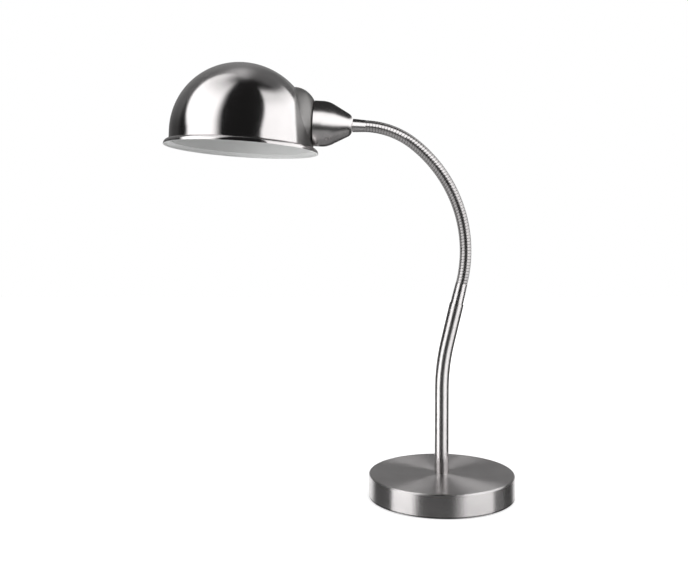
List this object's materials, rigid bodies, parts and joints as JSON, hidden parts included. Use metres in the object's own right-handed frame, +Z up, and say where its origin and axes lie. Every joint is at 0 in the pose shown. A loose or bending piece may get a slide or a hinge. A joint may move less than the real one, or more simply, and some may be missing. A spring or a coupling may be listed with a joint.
{
  "type": "desk lamp",
  "caption": "Desk lamp with a weighted round base, a bent stem, a ribbed gooseneck and a dome shade with a flared lip, carried sideways on a cup; brushed nickel.",
  "frame": {"origin": "middle of the foot pad's underside, where the lamp stands", "axes": "+Z up along the stem's foot, -X towards the shade, +Y to the rear where the cord goes in"},
  "size_m": [0.3551, 0.1542, 0.4399],
  "materials": {
    "nickel": "brushed nickel plate on steel",
    "hose": "satin nickel plate on a wound steel hose",
    "shade_metal": "polished nickel plate outside, white enamel inside",
    "zinc": "bright zinc plate",
    "iron": "raw casting",
    "plate": "matt black paint",
    "pad": "matt black foam rubber",
    "bush": "matt black",
    "holder": "white moulding",
    "insert": "white ceramic look",
    "contact_brass": "plain",
    "cap_metal": "plain",
    "bulb": "opal white"
  },
  "bodies": {
    "base": {"base_cover": "nickel", "base_weight": "iron", "base_washer": "zinc", "base_nut": "zinc", "bottom_plate": "plate", "foot_pad": "pad", "stem_stud": "zinc", "cord_inlet": "bush", "stem_tube": "nickel", "low_ferrule": "nickel"},
    "span_01": {"neck_span_01": "hose"},
    "span_02": {"neck_span_02": "hose"},
    "span_03": {"neck_span_03": "hose"},
    "span_04": {"neck_span_04": "hose"},
    "span_05": {"neck_span_05": "hose"},
    "span_06": {"neck_span_06": "hose"},
    "span_07": {"neck_span_07": "hose"},
    "span_08": {"neck_span_08": "hose"},
    "span_09": {"neck_span_09": "hose"},
    "span_10": {"neck_span_10": "hose"},
    "head": {"high_ferrule": "nickel", "head_nut": "zinc", "cup": "nickel", "shade": "shade_metal", "shade_ring": "holder", "holder_sleeve": "holder", "holder_insert": "insert", "terminal_screws": "contact_brass", "screw_shell": "contact_brass", "centre_contact": "contact_brass", "bulb_cap": "cap_metal", "bulb_glass": "bulb"}
  },
  "joints": [
    {"name": "neck_bend_1", "type": "hinge", "parent": "base", "child": "span_01", "pos_m": [0.01998, 0, 0.21973], "axis": [0, -1, 0], "range_deg": [-15, 8]},
    {"name": "neck_sway_1", "type": "hinge", "parent": "span_01", "child": "span_02", "pos_m": [0.0232, 0, 0.2403], "axis": [0.9969, 0, -0.0793], "range_deg": [-10, 10]},
    {"name": "neck_bend_2", "type": "hinge", "parent": "span_02", "child": "span_03", "pos_m": [0.02328, 0, 0.26111], "axis": [0, -1, 0], "range_deg": [-15, 8]},
    {"name": "neck_sway_2", "type": "hinge", "parent": "span_03", "child": "span_04", "pos_m": [0.02023, 0, 0.2817], "axis": [0.9753, 0, 0.2208], "range_deg": [-10, 10]},
    {"name": "neck_bend_3", "type": "hinge", "parent": "span_04", "child": "span_05", "pos_m": [0.01411, 0, 0.30161], "axis": [0, -1, 0], "range_deg": [-15, 8]},
    {"name": "neck_sway_3", "type": "hinge", "parent": "span_05", "child": "span_06", "pos_m": [0.00507, 0, 0.32036], "axis": [0.8655, 0, 0.5009], "range_deg": [-10, 10]},
    {"name": "neck_bend_4", "type": "hinge", "parent": "span_06", "child": "span_07", "pos_m": [-0.00668, 0, 0.33754], "axis": [0, -1, 0], "range_deg": [-15, 8]},
    {"name": "neck_sway_4", "type": "hinge", "parent": "span_07", "child": "span_08", "pos_m": [-0.02089, 0, 0.35275], "axis": [0.6774, 0, 0.7356], "range_deg": [-10, 10]},
    {"name": "neck_bend_5", "type": "hinge", "parent": "span_08", "child": "span_09", "pos_m": [-0.03737, 0, 0.36544], "axis": [0, -1, 0], "range_deg": [-15, 8]},
    {"name": "neck_sway_5", "type": "hinge", "parent": "span_09", "child": "span_10", "pos_m": [-0.05635, 0, 0.37393], "axis": [0.2937, 0, 0.9559], "range_deg": [-10, 10]},
    {"name": "neck_bend_6", "type": "hinge", "parent": "span_10", "child": "head", "pos_m": [-0.07681, 0, 0.37756], "axis": [0, -1, 0], "range_deg": [-15, 8]}
  ]
}
